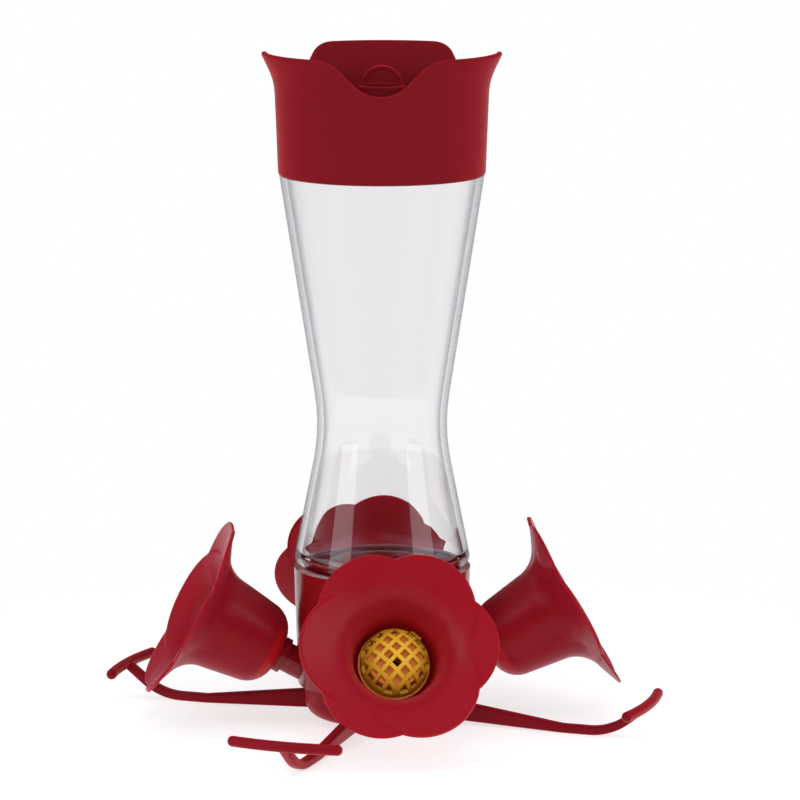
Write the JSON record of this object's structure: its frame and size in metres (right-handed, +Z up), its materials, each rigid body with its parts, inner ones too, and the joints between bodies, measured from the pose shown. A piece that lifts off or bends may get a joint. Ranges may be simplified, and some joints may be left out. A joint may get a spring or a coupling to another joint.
{
  "type": "hummingbird feeder",
  "caption": "Hummingbird feeder with an upturned pinched-waist glass bottle, a water moat cap, trumpet flower ports with bee guards and perch arms that are its feet.",
  "frame": {"origin": "on the bottle's axis, on the floor that the four perch arms stand on", "axes": "+Z up along the bottle's axis; +X along the right flower and -Y along the front flower"},
  "size_m": [0.1724, 0.1724, 0.2103],
  "materials": {
    "red_plastic": "satin",
    "gloss_red_plastic": "gloss",
    "flower_red_plastic": "satin",
    "dark_red_plastic": "satin",
    "yellow_plastic": "satin",
    "orange_yellow_plastic": "satin",
    "clear_glass": "clear",
    "seal_rubber": "matte"
  },
  "bodies": {
    "tray": {"perch_tray": "dark_red_plastic"},
    "tray_seal_ring": {"tray_seal": "seal_rubber"},
    "base": {"base_bowl": "gloss_red_plastic", "flower_right": "flower_red_plastic", "flower_back": "flower_red_plastic", "flower_left": "flower_red_plastic", "flower_front": "flower_red_plastic", "feeding_port_right": "orange_yellow_plastic", "feeding_port_back": "orange_yellow_plastic", "feeding_port_left": "orange_yellow_plastic", "feeding_port_front": "orange_yellow_plastic", "bee_guard_right": "yellow_plastic", "bee_guard_back": "yellow_plastic", "bee_guard_left": "yellow_plastic", "bee_guard_front": "yellow_plastic"},
    "bottle_seal_ring": {"bottle_seal": "seal_rubber"},
    "bottle": {"bottle": "clear_glass", "moat_cap": "red_plastic"}
  },
  "joints": [
    {"name": "base_lift", "type": "slide", "parent": "tray", "child": "tray_seal_ring", "axis": [0, 0, 1], "range_m": [0, 0.0031]},
    {"name": "base_turn", "type": "hinge", "parent": "tray_seal_ring", "child": "base", "pos_m": [0, 0, 0.012], "axis": [0, 0, 1], "range_deg": [0, 360]},
    {"name": "bottle_lift", "type": "slide", "parent": "base", "child": "bottle_seal_ring", "axis": [0, 0, 1], "range_m": [0, 0.0041]},
    {"name": "bottle_turn", "type": "hinge", "parent": "bottle_seal_ring", "child": "bottle", "pos_m": [0, 0, 0.04], "axis": [0, 0, 1], "range_deg": [0, 360]}
  ],
  "couplings": [
    {"joint": "base_lift", "follows": "base_turn", "m_per_rad": 0.00047746},
    {"joint": "bottle_lift", "follows": "bottle_turn", "m_per_rad": 0.00063662}
  ]
}
